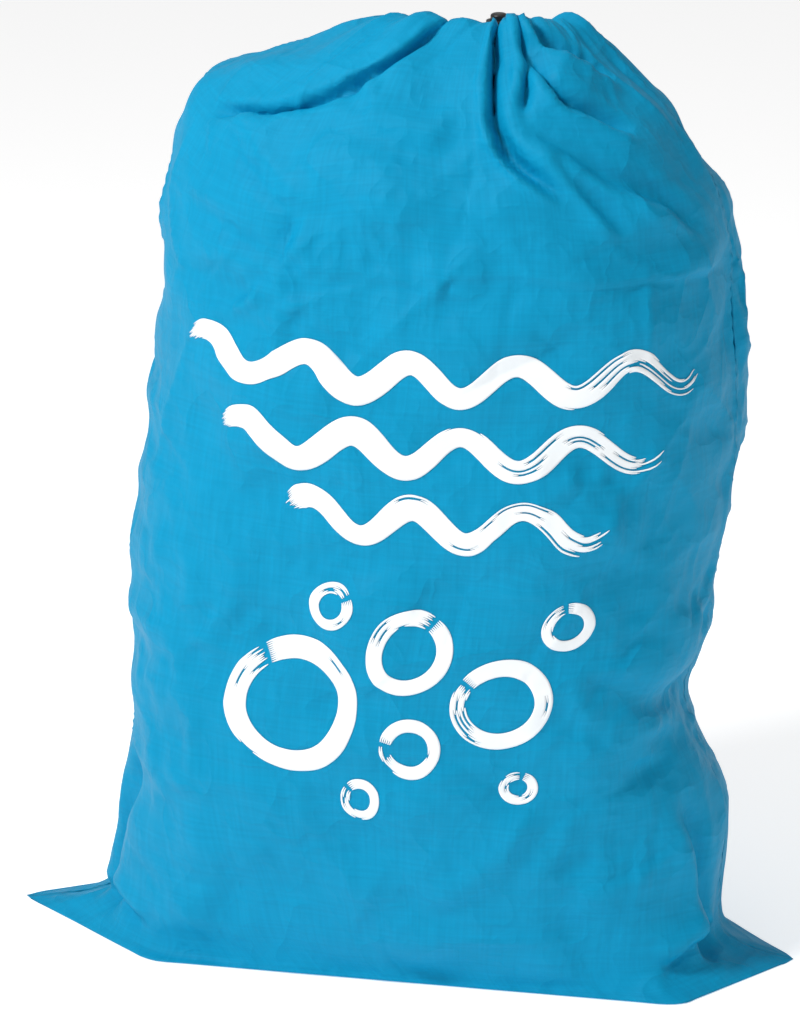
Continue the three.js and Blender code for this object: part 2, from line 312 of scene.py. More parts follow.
def make_washing():
    """The washing as one closed lumpy body a little inside the skin, its foot off the floor."""
    columns, rows, inset = 72, 60, 0.006
    turn, rise = np.meshgrid(
        np.linspace(0, 2 * np.pi, columns, endpoint=False), np.linspace(0, 1, rows)
    )
    body = filled_skin(turn, rise, "none", inset)
    body[..., 2] = np.maximum(body[..., 2] * 0.985, 0.010)
    outward = body - np.array([0.03, 0, 0.36])
    outward[..., 2] *= 0.25
    outward /= np.linalg.norm(outward, axis=-1, keepdims=True)
    swell = 0.007 * lumps(body, 60, 0.10, 0.26, 3) * smooth(0.08, body[..., 2])
    body += outward * swell[..., None]
    wrapped = wrapped_rows(rows, columns)
    foot, crown = turn.size, turn.size + 1
    fans = [(wrapped[0, j + 1], wrapped[0, j], foot) for j in range(columns)]
    fans += [(wrapped[-1, j], wrapped[-1, j + 1], crown) for j in range(columns)]
    points = np.vstack([body.reshape(-1, 3), [[0.014, 0, 0.010], [MOUTH[0], 0, 0.67]]])
    return new_object("washing", points, [*grid_faces(wrapped), *fans])


def collide(thing, thickness):
    thing.modifiers.new("collision", "COLLISION")
    thing.collision.thickness_outer = thickness
    thing.collision.thickness_inner = 0.02
    thing.collision.cloth_friction = 8
    thing.collision.damping = 0.3


def settle_bag(columns, rows, frames):
    """Sews both panels into one bag with their flat cut as the rest shape, draws the top row
    in to the mouth's ring while the cloth settles on the washing and the floor, and
    returns the two panels' grids of points, left to right and bottom to top."""
    across, up = np.meshgrid(np.linspace(0, 1, columns + 1), np.linspace(0, FALL, rows + 1))
    front = hung_cloth(across, up, np.pi, drawn=False)
    back = hung_cloth(across, up, 0.0, drawn=False)[:, ::-1]
    front_index = np.arange(across.size).reshape(across.shape)
    inside = np.zeros(across.shape, bool)
    inside[1:, 1:-1] = True
    back_index = front_index.copy()
    back_index[inside] = across.size + np.arange(inside.sum())
    points = np.vstack([front.reshape(-1, 3), back[inside]])
    cut = np.stack([across * PANEL_WIDTH, 0 * across, up], -1)
    flat = np.vstack([cut.reshape(-1, 3), cut[inside]])
    faces = np.vstack([grid_faces(front_index), grid_faces(back_index)[:, ::-1]])
    bag = new_object("settling_bag", points, faces)

    bag.shape_key_add(name="Basis")
    rest = bag.shape_key_add(name="flat_cut")
    rest.data.foreach_set("co", flat.astype(np.float32).ravel())
    ring = points.copy()
    for index, turn in (
        (front_index[-1], np.linspace(np.pi, 2 * np.pi, columns + 1)),
        (back_index[-1, 1:-1], np.linspace(np.pi, 0, columns + 1)[1:-1]),
    ):
        ring[index, 0] = MOUTH[0] + MOUTH_RADIUS * np.cos(turn)
        ring[index, 1] = MOUTH_RADIUS * np.sin(turn)
        ring[index, 2] = MOUTH[2] + 0.006 - BACK_LOWER * np.maximum(np.sin(turn), 0)
    drawn = bag.shape_key_add(name="drawn_in")
    drawn.data.foreach_set("co", ring.astype(np.float32).ravel())
    for value, when in ((0, 1), (1, int(frames * 0.6))):
        drawn.value = value
        drawn.keyframe_insert("value", frame=when)
    held = bag.vertex_groups.new(name="held")
    edges = np.unique(np.concatenate([front_index[-1], back_index[-1], front_index[0]]))
    held.add(edges.tolist(), 1.0, "REPLACE")

    washing = make_washing()
    ground = new_object("ground", [(-1, -1, 0), (1, -1, 0), (1, 1, 0), (-1, 1, 0)], [(0, 1, 2, 3)])
    collide(washing, 0.003)
    collide(ground, 0.0015)
    cloth = bag.modifiers.new("cloth", "CLOTH")
    feel = dict(quality=5, mass=0.006, air_damping=1.5, tension_stiffness=25)
    feel.update(compression_stiffness=12, shear_stiffness=8, bending_stiffness=0.15)
    feel.update(tension_damping=8, compression_damping=8, shear_damping=5)
    feel.update(vertex_group_mass="held", pin_stiffness=1, rest_shape_key=rest)
    touch = dict(collision_quality=3, distance_min=0.002, use_self_collision=True)
    touch.update(self_distance_min=0.0025, self_friction=5)
    for settings, values in ((cloth.settings, feel), (cloth.collision_settings, touch)):
        for key, value in values.items():
            setattr(settings, key, value)
    cloth.point_cache.frame_start = 1
    cloth.point_cache.frame_end = frames
    scene.frame_start, scene.frame_end = 1, frames
    for when in range(1, frames + 1):
        scene.frame_set(when)
    settled = bag.evaluated_get(bpy.context.evaluated_depsgraph_get()).to_mesh()
    result = np.empty(len(settled.vertices) * 3, np.float32)
    settled.vertices.foreach_get("co", result)
    result = result.reshape(-1, 3).astype(float)
    for thing in (bag, washing, ground):
        bpy.data.objects.remove(thing, do_unlink=True)
    scene.frame_set(1)
    return result[front_index], result[back_index]


def drawn_bag(columns, rows):
    across, up = np.meshgrid(np.linspace(0, 1, columns + 1), np.linspace(0, FALL, rows + 1))
    front = hung_cloth(across, up, np.pi, drawn=True)
    return front, hung_cloth(across, up, 0.0, drawn=True)[:, ::-1]


def finer(grid, rows, columns):
    """A grid of that many rows and columns through the same surface: Catmull-Rom cubics
    along the rows and then along the columns, run on in a straight line at the edges."""
    for size in (rows, columns):
        padded = np.concatenate([2 * grid[:1] - grid[1:2], grid, 2 * grid[-1:] - grid[-2:-1]])
        place = np.linspace(0, len(grid) - 1, size)
        i = np.minimum(place.astype(int), len(grid) - 2)
        f = (place - i)[:, None, None]
        grid = catmull_rom(*(padded[i + k] for k in range(4)), f).swapaxes(0, 1)
    return grid


def grid_normals(grid):
    """Unit normals from the cross product of the steps to the right and up."""
    normal = np.cross(np.gradient(grid, axis=1), np.gradient(grid, axis=0))
    return normal / np.maximum(np.linalg.norm(normal, axis=-1, keepdims=True), 1e-9)


# The free ends' route behind the bag, the same points as the cord's own, so that the cloth
# gives way under them: sideways from the mouth's middle, back, and down from the mouth.
TAIL_ROUTE = np.array(
    [
        [2.35, 37, 0], [2.35, 50, 0], [2.35, 75, 0], [2.35, 104, 0], [2.5, 113, -1.5],
        [3, 121, -6], [3.8, 128, -15], [4.6, 133.5, -29], [5.4, 138, -47], [6.4, 142.5, -69],
        [7.8, 147, -97], [9.5, 151, -132], [11, 153.5, -174], [11.6, 154.8, -222],
        [10.6, 155.2, -276], [8.6, 155.2, -335], [7, 154.8, -394], [7.4, 154, -449],
        [9.4, 152.8, -504], [11.5, 151.2, -551],
    ]
) / 1000
STRAIGHT_POINTS = 4
CORD = 0.004


def tail_points(side):
    """The route of one free end, 1 for the right and -1 for the left, which leans out
    further and ends a little higher, both as the square of the way past the straight."""
    last = len(TAIL_ROUTE) - 1
    past = np.maximum(0, np.arange(last + 1) - STRAIGHT_POINTS) / (last - STRAIGHT_POINTS)
    lean, rise = (0.026, 0.018) if side < 0 else (0.0, 0.0)
    x = MOUTH[0] + side * (TAIL_ROUTE[:, 0] + lean * past**2)
    return np.stack([x, TAIL_ROUTE[:, 1], MOUTH[2] + TAIL_ROUTE[:, 2] + rise * past**2], -1)


def make_room_for_cord(grid):
    """Presses the back cloth in under the cord ends and down under the lock, fading out
    over a couple of centimetres to each side."""
    grid = grid.copy()
    x, y, z = np.moveaxis(grid, -1, 0)
    for side in (-1, 1):
        route = tail_points(side)[STRAIGHT_POINTS:]
        cord_x = np.interp(z, route[::-1, 2], route[::-1, 0])
        cord_y = np.interp(z, route[::-1, 2], route[::-1, 1])
        most = cord_y - CORD / 2 - 0.0006
        near = bell(x, cord_x, 0.016)
        y = y - np.maximum(y - most, 0) * near * ((z > 0.12) & (z < 0.69) & (y > 0.05))
    shelf = MOUTH[2] - 0.0145
    near = smooth(1, 1 - np.clip((np.abs(x - MOUTH[0]) - 0.015) / 0.03, 0, 1))
    near = near * (y > 0.036) * smooth(1, 1 - np.clip((y - 0.112) / 0.02, 0, 1))
    z = z - np.maximum(z - shelf, 0) * near
    return np.stack([x, y, z], -1)


def widths(points, levels):
    """The least and greatest x of the points near each level, smoothed from level to level."""
    sides = []
    for z in levels:
        x = points[np.abs(points[:, 2] - z) < 0.009, 0]
        sides.append((x.min(), x.max()))
    sides = np.array(sides)
    return np.concatenate([sides[:1], (sides[:-2] + 2 * sides[1:-1] + sides[2:]) / 4, sides[-1:]])


def hold_shape(panels):
    """Draws the settled cloth out or in sideways, level by level, until it is as wide as the
    full bag, and leaves it alone round the mouth."""
    turn, rise = np.meshgrid(np.linspace(0, 2 * np.pi, 181), np.linspace(0, 1, 400))
    levels = np.linspace(0.0, 0.702, 40)
    now = widths(np.concatenate([panel.reshape(-1, 3) for panel in panels]), levels)
    full = widths(filled_skin(turn, rise).reshape(-1, 3), levels)
    held = []
    for panel in panels:
        x, y, z = np.moveaxis(panel, -1, 0)
        left, right, to_left, to_right = (
            np.interp(z, levels, side) for side in (*now.T, *full.T)
        )
        moved = to_left + (x - left) / (right - left) * (to_right - to_left)
        away = np.hypot(x - MOUTH[0], y - MOUTH[1])
        share = smooth(0.09, away - 0.03)
        held.append(np.stack([x + (moved - x) * share, y, z], -1))
    return held


def make_form_tree():
    """The full bag's own surface, ears and all, to measure distances from."""
    turn, rise = np.meshgrid(
        np.linspace(0, 2 * np.pi, 120, endpoint=False), np.linspace(0, 1, 160)
    )
    body = filled_skin(turn, rise).reshape(-1, 3)
    return BVHTree.FromPolygons(body.tolist(), grid_faces(wrapped_rows(*turn.shape)).tolist())


def hug_form(panel, tree):
    """Eases the cloth towards the full bag's surface: as far out as 5 mm and as far in as
    7 mm, or 13 mm among the pleats, with a smooth approach to each limit by tanh."""
    most_out, most_in, more_in_pleats, lift = 0.005, 0.007, 0.006, 0.001
    hugged = panel.copy()
    for place in np.ndindex(panel.shape[:2]):
        point = Vector(panel[place])
        if point.z < 0.03:
            continue
        near, normal, _, _ = tree.find_nearest(point)
        height = (point - near).dot(normal)
        share = float(smooth(0.05, point.z - 0.03))
        share *= float(smooth(0.05, np.hypot(point.x - MOUTH[0], point.y) - 0.035))
        deep = most_in + more_in_pleats * float(smooth(0.12, point.z - 0.56))
        limit = most_out if height > 0 else deep
        eased = limit * np.tanh(height / limit) + lift
        hugged[place] = point + normal * ((eased - height) * share)
    return hugged


def slope_shoulders(panel):
    """Lets the crown sink where nothing fills it: a little everywhere, most on the left of
    the gather, over the right shoulder and before the lock. Then the right side is drawn in
    at the chest and the waist and let out at the hip, and the left side is let out."""
    x, y, z = np.moveaxis(panel, -1, 0)
    left_of_gather = 0.015 * bell(x, -0.065, 0.055)
    right_shoulder = 0.015 * smooth(0.10, x - 0.09)
    before_lock = 0.007 * bell(x, 0.075, 0.040) * smooth(0.02, -y)
    sink = 0.006 + left_of_gather + right_shoulder + before_lock
    lower = sink * smooth(0.03, x + 0.155) * smooth(0.16, z - 0.50)
    off_mouth = smooth(0.05, np.hypot(x - MOUTH[0], y) - 0.035)
    chest = 0.009 * smooth(0.15, z - 0.38)
    waist = 0.007 * bell(z, 0.31, 0.09)
    waist_fold = 0.013 * bell(z, 0.215, 0.028)
    hip = 0.012 * bell(z, 0.125, 0.045)
    right_in = (chest + waist + waist_fold - hip) * smooth(0.12, x - 0.12)
    left_out = 0.008 * bell(z, 0.28, 0.12) * smooth(0.10, -0.08 - x)
    return np.stack([x - right_in - left_out, y, z - lower * off_mouth], -1)


COLUMNS, ROWS = 60, 90
FINE_ROWS, FINE_COLUMNS = 265, 177
front_cloth, back_cloth = settle_bag(COLUMNS, ROWS, frames=44)


def panel_places(rows, columns):
    """Across and up, in metres on the flat panel, for every point of a panel's grid."""
    return np.meshgrid(np.linspace(0, PANEL_WIDTH, columns), np.linspace(0, FALL, rows))


def curve_through(points, count):
    """That many points evenly along the Catmull-Rom curve through the given ones."""
    points = np.asarray(points, float)
    line = finer(np.repeat(points[:, None], 2, axis=1), 40 * len(points), 2)[:, 0]
    gone = np.append(0, np.linalg.norm(np.diff(line, axis=0), axis=1).cumsum())
    even = np.linspace(0, gone[-1], count)
    return np.stack([np.interp(even, gone, axis) for axis in line.T], -1)


def beside(across, up, points):
    """For every place on the panel, how far it is from the curve, positive to its left, and
    which share of the curve lies before its nearest point."""
    line = curve_through(points, 60)
    step = np.gradient(line, axis=0)
    step /= np.linalg.norm(step, axis=1, keepdims=True)
    best = np.full(across.shape, np.inf)
    side = np.zeros(across.shape)
    share = np.zeros(across.shape)
    for i, (spot, way) in enumerate(zip(line, step)):
        dx, dy = across - spot[0], up - spot[1]
        gap = np.hypot(dx, dy)
        closer = gap < best
        best = np.where(closer, gap, best)
        side = np.where(closer, np.sign(way[0] * dy - way[1] * dx), side)
        share = np.where(closer, i / (len(line) - 1), share)
    return best * side, share


# The folds that stand out on the front: points across and up the flat panel, how deep the
# valley is and how wide, how high the roll on its left side stands, and how far the roll
# sags over the valley, as a step in z.
FRONT_FOLDS = (
    (((0.080, 0.770), (0.125, 0.788), (0.194, 0.809), (0.253, 0.834), (0.285, 0.885)),
     0.014, 0.0070, 0.009, -0.010),
    (((0.433, 0.729), (0.399, 0.757), (0.387, 0.785), (0.388, 0.815), (0.392, 0.850),
      (0.395, 0.900)), 0.016, 0.0065, 0.007, -0.004),
    (((0.410, 0.785), (0.418, 0.805), (0.430, 0.835), (0.425, 0.890)), 0.010, 0.0055, 0.003, 0.0),
    (((0.550, 0.822), (0.500, 0.840), (0.460, 0.856), (0.425, 0.900)), 0.009, 0.007, 0.005, 0.0),
    (((0.520, 0.780), (0.480, 0.797), (0.450, 0.808), (0.435, 0.850)), 0.009, 0.007, 0.006, 0.0),
    (((0.550, 0.690), (0.500, 0.738), (0.440, 0.768), (0.400, 0.785)), 0.006, 0.009, 0.004, 0.0),
    (((0.470, 0.700), (0.450, 0.735), (0.420, 0.765)), 0.005, 0.007, 0.003, 0.0),
    (((0.118, 0.776), (0.152, 0.757), (0.215, 0.713)), 0.004, 0.009, 0.003, 0.0),
    (((0.215, 0.722), (0.205, 0.690), (0.213, 0.650)), 0.003, 0.009, 0.002, 0.0),
    (((0.100, 0.700), (0.150, 0.690), (0.215, 0.664)), 0.003, 0.010, 0.002, 0.0),
    (((0.190, 0.795), (0.250, 0.772), (0.322, 0.762), (0.370, 0.790)), 0.004, 0.012, 0.003, 0.0),
    (((0.215, 0.825), (0.235, 0.800), (0.262, 0.790)), 0.004, 0.008, 0.003, 0.0),
    (((0.290, 0.660), (0.370, 0.657), (0.450, 0.652), (0.600, 0.645)), 0.0014, 0.005, 0.001, 0.0),
    (((0.608, 0.330), (0.541, 0.326), (0.489, 0.338), (0.440, 0.362)), 0.006, 0.011, 0.004, 0.0),
    (((0.600, 0.420), (0.560, 0.396), (0.510, 0.402)), 0.003, 0.010, 0.002, 0.0),
    (((0.040, 0.360), (0.090, 0.340), (0.150, 0.345)), 0.003, 0.011, 0.002, 0.0),
    (((0.060, 0.105), (0.052, 0.140), (0.065, 0.190), (0.090, 0.250)), 0.009, 0.010, 0.005, 0.0),
    (((0.552, 0.105), (0.560, 0.140), (0.552, 0.190), (0.530, 0.250)), 0.009, 0.010, 0.005, 0.0),
    (((0.030, 0.125), (0.070, 0.135), (0.105, 0.120)), 0.007, 0.008, 0.004, 0.0),
    (((0.505, 0.120), (0.545, 0.135), (0.585, 0.125)), 0.007, 0.008, 0.004, 0.0),
    (((0.130, 0.110), (0.170, 0.160), (0.180, 0.230)), 0.003, 0.012, 0.002, 0.0),
    (((0.480, 0.115), (0.450, 0.170), (0.455, 0.230)), 0.003, 0.012, 0.002, 0.0),
    (((0.340, 0.160), (0.400, 0.190), (0.440, 0.250)), 0.002, 0.010, 0.002, 0.0),
)
BACK_FOLDS = (
    (((0.330, 0.890), (0.340, 0.830), (0.335, 0.760), (0.320, 0.690)), 0.005, 0.010, 0.003, 0.0),
    (((0.470, 0.880), (0.480, 0.820), (0.500, 0.750)), 0.007, 0.009, 0.004, 0.0),
    (((0.250, 0.890), (0.210, 0.840), (0.150, 0.790), (0.080, 0.740)), 0.008, 0.009, 0.005, 0.0),
    (((0.040, 0.330), (0.110, 0.350), (0.170, 0.340)), 0.004, 0.011, 0.003, 0.0),
    (((0.060, 0.105), (0.052, 0.150), (0.090, 0.240)), 0.006, 0.010, 0.004, 0.0),
    (((0.552, 0.105), (0.560, 0.150), (0.520, 0.240)), 0.006, 0.010, 0.004, 0.0),
)


def press_folds(cloth, folds):
    """Presses each fold in along the normals: a valley, -depth * exp(-(d / width)^2), and on
    its left a roll, height * exp(-((d - 1.6 width) / width)^2), both fading at the ends."""
    across, up = panel_places(*cloth.shape[:2])
    normal = grid_normals(cloth)
    off_seam = smooth(0.025, np.minimum(across, PANEL_WIDTH - across))
    moved = cloth.copy()
    for points, depth, width, roll, hang in folds:
        gap, share = beside(across, up, points)
        ends = smooth(0.22, share) * smooth(0.18, 1 - share) * off_seam
        valley = -depth * bell(gap, 0, width)
        crest = bell(gap, 1.6 * width, width)
        moved += normal * ((valley + roll * crest) * ends)[..., None]
        moved[..., 2] += hang * crest * ends
    return moved


def crease_height(across, up, count, seed):
    """Height of the short straight creases that thin cloth keeps: each is a sharp ridge,
    a * exp(-|d| / w), along a random line that fades out to both ends."""
    draw = np.random.default_rng(seed)
    total = np.zeros(across.shape)
    for _ in range(count):
        x, y = draw.uniform(0, PANEL_WIDTH), draw.uniform(0, FALL)
        turn = draw.uniform(0, np.pi)
        half = draw.uniform(0.012, 0.055)
        width = draw.uniform(0.0025, 0.0065)
        rise = draw.uniform(0.5, 1.0) * draw.choice((1.0, 1.0, -0.8)) * (0.3 + half / 0.055)
        along = (across - x) * np.cos(turn) + (up - y) * np.sin(turn)
        off = (up - y) * np.cos(turn) - (across - x) * np.sin(turn)
        off = off + along**2 * draw.uniform(-4, 4)
        total += rise * np.exp(-np.abs(off) / width) * bell(along, 0, half)
    return total


def crumple(cloth, seed):
    """Adds the creases, a slow unevenness and, along both seams, the pucker that the
    stitches pull into the cloth."""
    across, up = panel_places(*cloth.shape[:2])
    height = 0.0026 * crease_height(across, up, 300, seed)
    height += 0.0022 * lumps(np.stack([across, up, up], -1), 16, 0.07, 0.2, seed)
    edge = np.minimum(across, PANEL_WIDTH - across)
    pucker = np.sin(2 * np.pi * up / 0.011 + 2 * np.sin(up / 0.03)) * np.exp(-edge / 0.006)
    height = height * smooth(0.02, edge) + 0.0006 * pucker
    height *= smooth(0.02, up - FLOOR_SHARE)
    return cloth + grid_normals(cloth) * height[..., None]


def close_ends(settled, drawn):
    """Passes from the settled cloth to the evenly drawn top over the last third of the way
    up, and to the flat ears near the floor, so that the folds there lie on smooth cloth."""
    _, up = panel_places(*settled.shape[:2])
    top, foot = smooth(0.16, up - 0.580), 1 - smooth(0.11, up - 0.140)
    share = np.maximum(top, foot)[..., None]
    return settled * (1 - share) + drawn * share


# How many pleats, how far down from the mouth they reach and how high they stand.
PLEATS = ((4, 0.21, 0.0045), (9, 0.13, 0.0040), (19, 0.07, 0.0030), (37, 0.03, 0.0020))


def gather_pleats(cloth, strength, seed):
    """The pleats that run out from the drawn hem: at four sizes, fewer and longer ones under
    many short ones, each |cos| of the way across with wandering phase, so that ridges are
    round and valleys sharp."""
    across, up = panel_places(*cloth.shape[:2])
    draw = np.random.default_rng(seed)
    left = FALL - up
    height = np.zeros(across.shape)
    share = across / PANEL_WIDTH
    for count, reach, size in PLEATS:
        phase = count * share + draw.uniform(0, 1)
        phase += 0.35 * np.sin(2 * np.pi * share * draw.uniform(1.5, 3) + draw.uniform(0, 6))
        phase += 0.20 * np.sin(left * 35 + draw.uniform(0, 6))
        fold = np.abs(np.cos(np.pi * phase)) ** 0.8 - 0.55
        uneven = 0.7 + 0.4 * np.sin(across * draw.uniform(20, 40) + draw.uniform(0, 6))
        height += size * fold * uneven * bell(left, 0, reach)
    height *= strength(across) * smooth(0.008, left)
    return cloth + grid_normals(cloth) * height[..., None]


def front_strength(across):
    """The front hangs nearly smooth left of the gather."""
    return 0.22 + 0.6 * smooth(0.08, across - 0.38)


form_tree = make_form_tree()
front_cloth, back_cloth = (
    finer(slope_shoulders(close_ends(hug_form(panel, form_tree), drawn)), FINE_ROWS, FINE_COLUMNS)
    for panel, drawn in zip(hold_shape([front_cloth, back_cloth]), drawn_bag(COLUMNS, ROWS))
)
front_cloth = gather_pleats(front_cloth, front_strength, 21)
front_cloth = crumple(press_folds(front_cloth, FRONT_FOLDS), 11)
# The back panel's grid runs the same way across as the front's, so its normals point in.
back_cloth = gather_pleats(back_cloth[:, ::-1], np.ones_like, 22)
back_cloth = crumple(press_folds(back_cloth, BACK_FOLDS), 12)[:, ::-1]
seam = (front_cloth[:, [0, -1]] + back_cloth[:, [0, -1]]) / 2
front_cloth[:, [0, -1]] = seam
back_cloth[:, [0, -1]] = seam
back_cloth[0] = front_cloth[0]
back_cloth = make_room_for_cord(back_cloth)
OFF_FLOOR = 0.0006
for cloth in (front_cloth, back_cloth):
    cloth[..., 2] = np.maximum(cloth[..., 2], OFF_FLOOR)


def socket(group, name, kind, default=None, out=False):
    made = group.interface.new_socket(
        name=name, in_out="OUTPUT" if out else "INPUT", socket_type=f"NodeSocket{kind}"
    )
    if default is not None:
        made.default_value = default
    return made


def wire(tree, start, end):
    tree.links.new(start, end)


def maths(tree, operation, *values):
    """A Math node; each value is a socket or a number."""
    node = tree.nodes.new("ShaderNodeMath")
    node.operation = operation
    for i, value in enumerate(values):
        if isinstance(value, bpy.types.NodeSocket):
            wire(tree, value, node.inputs[i])
        else:
            node.inputs[i].default_value = value
    return node.outputs[0]


def noise(tree, vector, scale, detail=3.0, rough=0.55):
    node = tree.nodes.new("ShaderNodeTexNoise")
    node.inputs["Scale"].default_value = scale
    node.inputs["Detail"].default_value = detail
    node.inputs["Roughness"].default_value = rough
    wire(tree, vector, node.inputs["Vector"])
    return node.outputs["Fac"]


def mix_colour(tree, share, dark, light):
    """The colour that share of the way from dark to light."""
    mix = tree.nodes.new("ShaderNodeMix")
    mix.data_type = "RGBA"
    wire(tree, share, mix.inputs[0])
    mix.inputs[6].default_value = (*dark, 1)
    mix.inputs[7].default_value = (*light, 1)
    return mix.outputs[2]


def bump(tree, height, strength, distance):
    node = tree.nodes.new("ShaderNodeBump")
    node.inputs["Strength"].default_value = strength
    node.inputs["Distance"].default_value = distance
    wire(tree, height, node.inputs["Height"])
    return node


def start_material(name):
    """A new material, its node tree, its shader and its texture coordinates."""
    material = bpy.data.materials.new(name)
    material.use_nodes = True
    tree = material.node_tree
    place = tree.nodes.new("ShaderNodeTexCoord").outputs
    return material, tree, tree.nodes["Principled BSDF"].inputs, place


def make_weave():
    """A plain weave over UV in metres: two sets of rounded threads, |sin| of the threads'
    count along and across, each over the other in turn, with slubs that thicken a few."""
    group = bpy.data.node_groups.new("plain_weave", "ShaderNodeTree")
    socket(group, "Vector", "Vector")
    socket(group, "Threads", "Float", 1400.0)
    socket(group, "Height", "Float", out=True)
    socket(group, "Shade", "Float", out=True)
    start = group.nodes.new("NodeGroupInput")
    end = group.nodes.new("NodeGroupOutput")
    split = group.nodes.new("ShaderNodeSeparateXYZ")
    wire(group, start.outputs["Vector"], split.inputs[0])
    count = maths(group, "MULTIPLY", start.outputs["Threads"], np.pi)
    warp = maths(group, "SINE", maths(group, "MULTIPLY", split.outputs["X"], count))
    weft = maths(group, "SINE", maths(group, "MULTIPLY", split.outputs["Y"], count))
    over = maths(group, "MULTIPLY", warp, weft)
    along = maths(group, "ABSOLUTE", warp)
    across = maths(group, "ABSOLUTE", weft)
    mix = group.nodes.new("ShaderNodeMix")
    wire(group, maths(group, "GREATER_THAN", over, 0.0), mix.inputs[0])
    wire(group, along, mix.inputs[2])
    wire(group, across, mix.inputs[3])
    wire(group, mix.outputs[0], end.inputs["Height"])
    slubs = []
    for squeeze in ((1.0, 0.04, 1.0), (0.04, 1.0, 1.0)):
        stretch = group.nodes.new("ShaderNodeMapping")
        stretch.inputs["Scale"].default_value = squeeze
        wire(group, start.outputs["Vector"], stretch.inputs["Vector"])
        slubs.append(noise(group, stretch.outputs[0], 420.0, 2.0))
    wire(group, maths(group, "SUBTRACT", maths(group, "ADD", *slubs), 0.5), end.inputs["Shade"])
    return group


weave = make_weave()


def make_creases():
    """The fine crumple of cloth that has been folded: broken ridges from noise folded
    about its middle, 1 - |2n - 1| raised to a power, at two sizes."""
    group = bpy.data.node_groups.new("fine_creases", "ShaderNodeTree")
    socket(group, "Vector", "Vector")
    socket(group, "Height", "Float", out=True)
    start = group.nodes.new("NodeGroupInput")
    end = group.nodes.new("NodeGroupOutput")
    parts = []
    for scale, power, share in ((14.0, 5.0, 1.0), (38.0, 4.0, 0.35)):
        field = noise(group, start.outputs["Vector"], scale, 2.0, 0.5)
        fold = maths(group, "ABSOLUTE", maths(group, "MULTIPLY_ADD", field, 2.0, -1.0))
        ridge = maths(group, "POWER", maths(group, "SUBTRACT", 1.0, fold), power)
        parts.append(maths(group, "MULTIPLY", ridge, share))
    wire(group, maths(group, "ADD", *parts), end.inputs["Height"])
    return group


creases = make_creases()


def cloth_material(name, light, dark, threads=1400.0):
    """Dyed polyester: a little lighter and darker in soft patches and along the threads,
    nearly matt, bumps from the weave and from fine creases."""
    material, tree, shader, place = start_material(name)
    cloth = tree.nodes.new("ShaderNodeGroup")
    cloth.node_tree = weave
    cloth.inputs["Threads"].default_value = threads
    wire(tree, place["UV"], cloth.inputs["Vector"])
    fold = tree.nodes.new("ShaderNodeGroup")
    fold.node_tree = creases
    wire(tree, place["Object"], fold.inputs["Vector"])
    patch = noise(tree, place["Object"], 5.0, 3.0)
    patch_tone = maths(tree, "MULTIPLY_ADD", patch, 0.5, -0.25)
    tone = maths(tree, "ADD", cloth.outputs["Shade"], patch_tone)
    wire(tree, mix_colour(tree, tone, dark, light), shader["Base Color"])
    wire(tree, maths(tree, "MULTIPLY_ADD", patch, 0.16, 0.40), shader["Roughness"])
    shader["Specular IOR Level"].default_value = 0.09
    coarse = bump(tree, fold.outputs["Height"], 0.6, 0.0030)
    fine = bump(tree, cloth.outputs["Height"], 0.5, 0.00015)
    wire(tree, coarse.outputs["Normal"], fine.inputs["Normal"])
    wire(tree, fine.outputs["Normal"], shader["Normal"])
    return material


bag_blue = cloth_material("bag_cloth", (0.002, 0.302, 0.536), (0.001, 0.238, 0.432))


def finish_piece(thing, material, body, nodes=()):
    """Smooth faces, the material, the body it rides on and the nodes it replaces."""
    mesh = thing.data
    mesh.polygons.foreach_set("use_smooth", np.ones(len(mesh.polygons), bool))
    mesh.materials.append(material)
    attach(thing, body)
    if nodes:
        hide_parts(*nodes)


def give_uv(thing, uv):
    """A UV map with one value per vertex."""
    mesh = thing.data
    corner = np.empty(len(mesh.loops), np.int32)
    mesh.loops.foreach_get("vertex_index", corner)
    layer = mesh.uv_layers.new(name="cut")
    layer.data.foreach_set("uv", uv[corner].astype(np.float32).ravel())


def thicken(thing, thickness, offset=-1.0):
    wall = thing.modifiers.new("thickness", "SOLIDIFY")
    wall.thickness = thickness
    wall.offset = offset


def make_panel(name, cloth, outward):
    """One panel from its grid; outward is 1 if right and up make a normal that points out."""
    rows, columns = cloth.shape[:2]
    index = np.arange(rows * columns).reshape(rows, columns)
    faces = grid_faces(index)
    panel = new_object(name, cloth.reshape(-1, 3), faces if outward > 0 else faces[:, ::-1])
    across, up = np.meshgrid(np.linspace(0, PANEL_WIDTH, columns), np.linspace(0, FALL, rows))
    give_uv(panel, np.stack([across, up], -1).reshape(-1, 2))
    thicken(panel, 0.0004)
    finish_piece(panel, bag_blue, "bag", [name.replace("_cloth", "_panel")])
    return panel


front_panel = make_panel("front_cloth", front_cloth, 1)
back_panel = make_panel("back_cloth", back_cloth, -1)


# ---------------------------------------------------------------- the print
# White ink brushed on the front panel: three rows of water above and a cluster of soap
# bubbles below. The brush runs dry towards the end of each stroke and leaves streaks.

INK_LIFT = 0.0004
BRISTLES = 0.0017  # how far apart the brush's streaks lie


